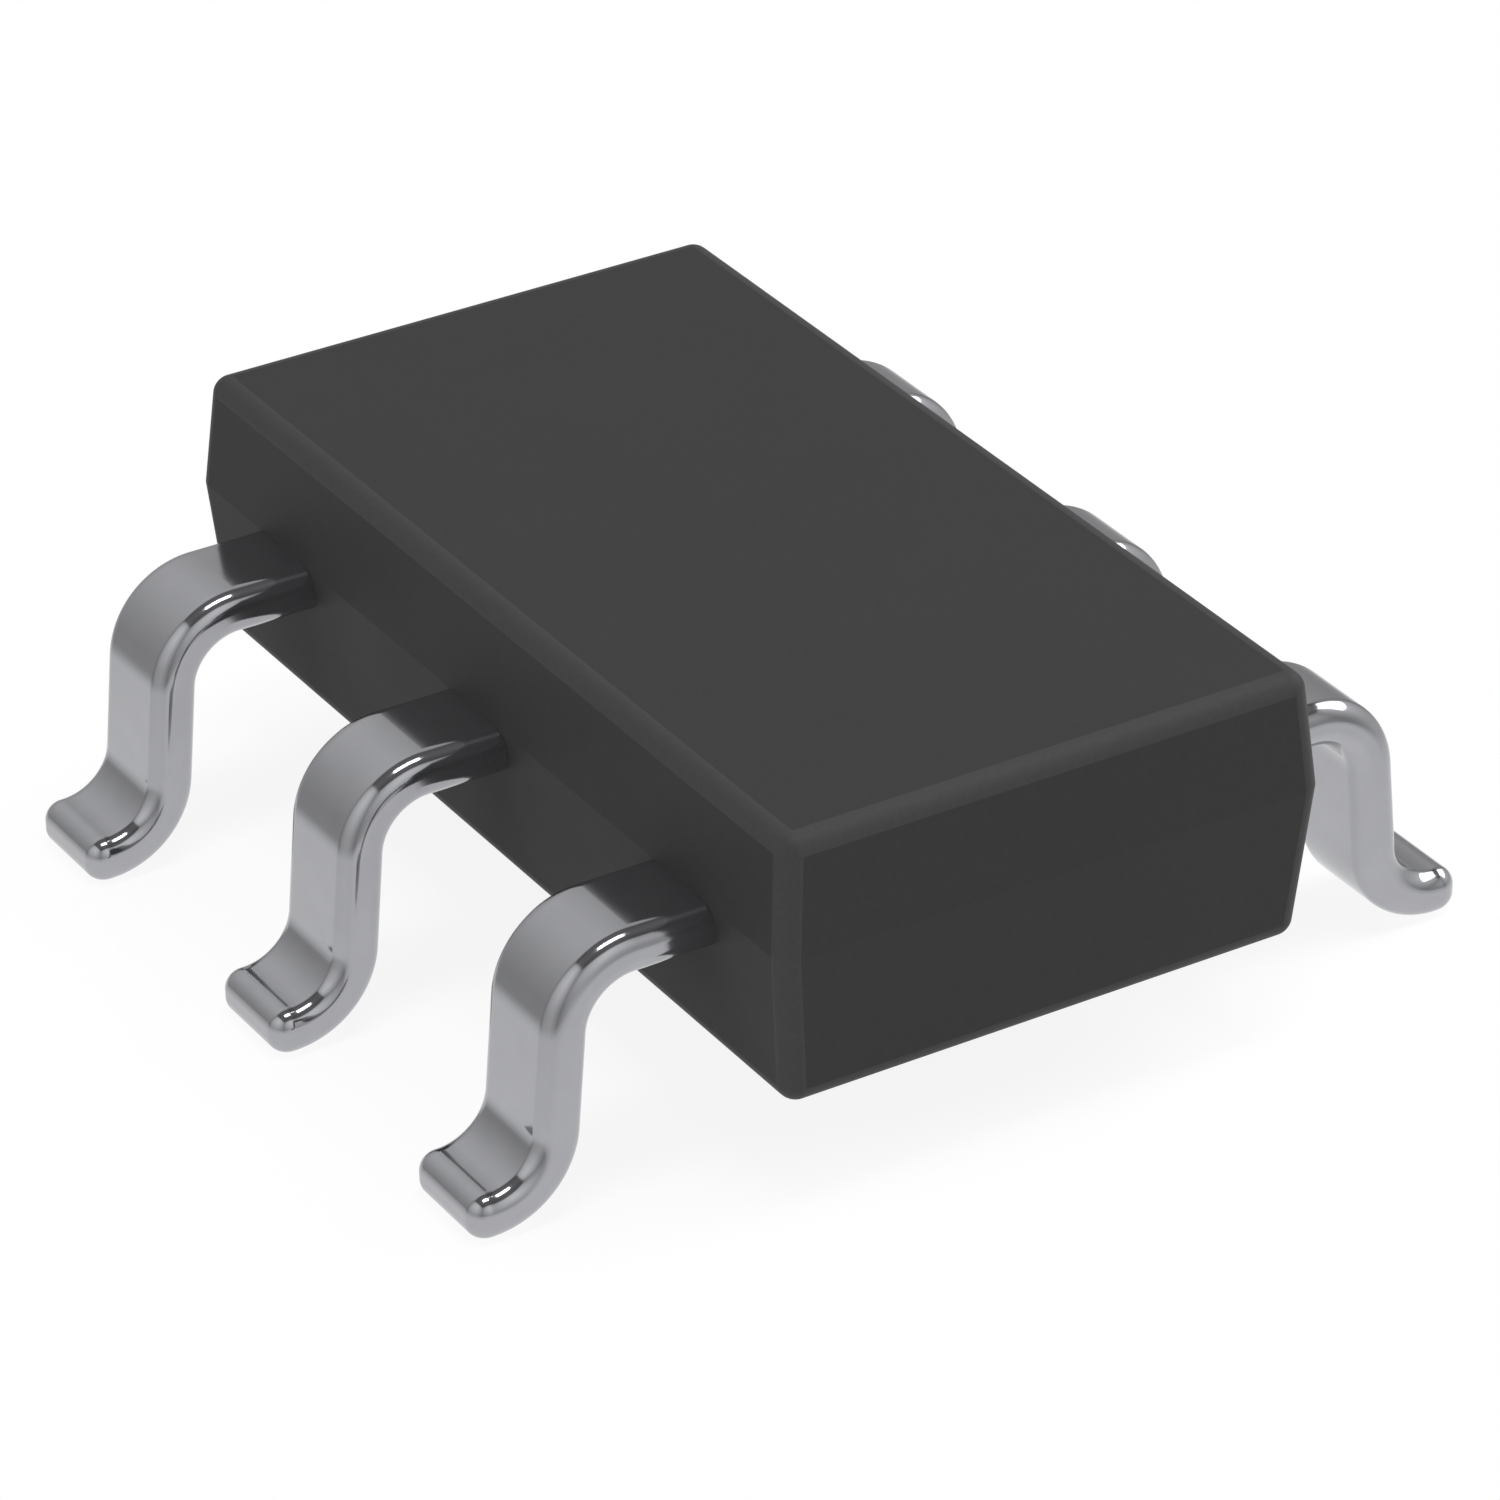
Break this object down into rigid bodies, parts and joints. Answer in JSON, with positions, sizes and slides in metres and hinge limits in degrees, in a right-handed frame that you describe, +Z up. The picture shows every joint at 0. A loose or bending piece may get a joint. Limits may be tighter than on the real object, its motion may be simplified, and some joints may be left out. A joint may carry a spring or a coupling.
{
  "type": "led driver integrated circuit",
  "caption": "Small surface-mount LED driver chip in a black moulded body with bent metal leads on both long sides.",
  "frame": {"origin": "centre of the seating plane, under the middle of the body", "axes": "+X along the body towards the leads 3 and 4 end, +Y across the body towards leads 4, 5 and 6, +Z up from the board"},
  "size_m": [0.0028, 0.0028, 0.001],
  "materials": {
    "mould_compound": "satin",
    "plated_leads": "polished",
    "die_adhesive": "satin",
    "silicon": "polished",
    "bond_wire": "polished"
  },
  "bodies": {
    "root": {"mould_body": "mould_compound", "lead_1": "plated_leads", "lead_3": "plated_leads", "lead_4": "plated_leads", "lead_6": "plated_leads", "die_pad_with_leads_2_and_5": "plated_leads", "die_attach": "die_adhesive", "silicon_die": "silicon", "bond_wire_lead_1_a": "bond_wire", "bond_wire_lead_1_b": "bond_wire", "bond_wire_lead_3": "bond_wire", "bond_wire_lead_4": "bond_wire", "bond_wire_lead_6": "bond_wire", "bond_wire_ground_a": "bond_wire", "bond_wire_ground_b": "bond_wire"}
  },
  "joints": []
}
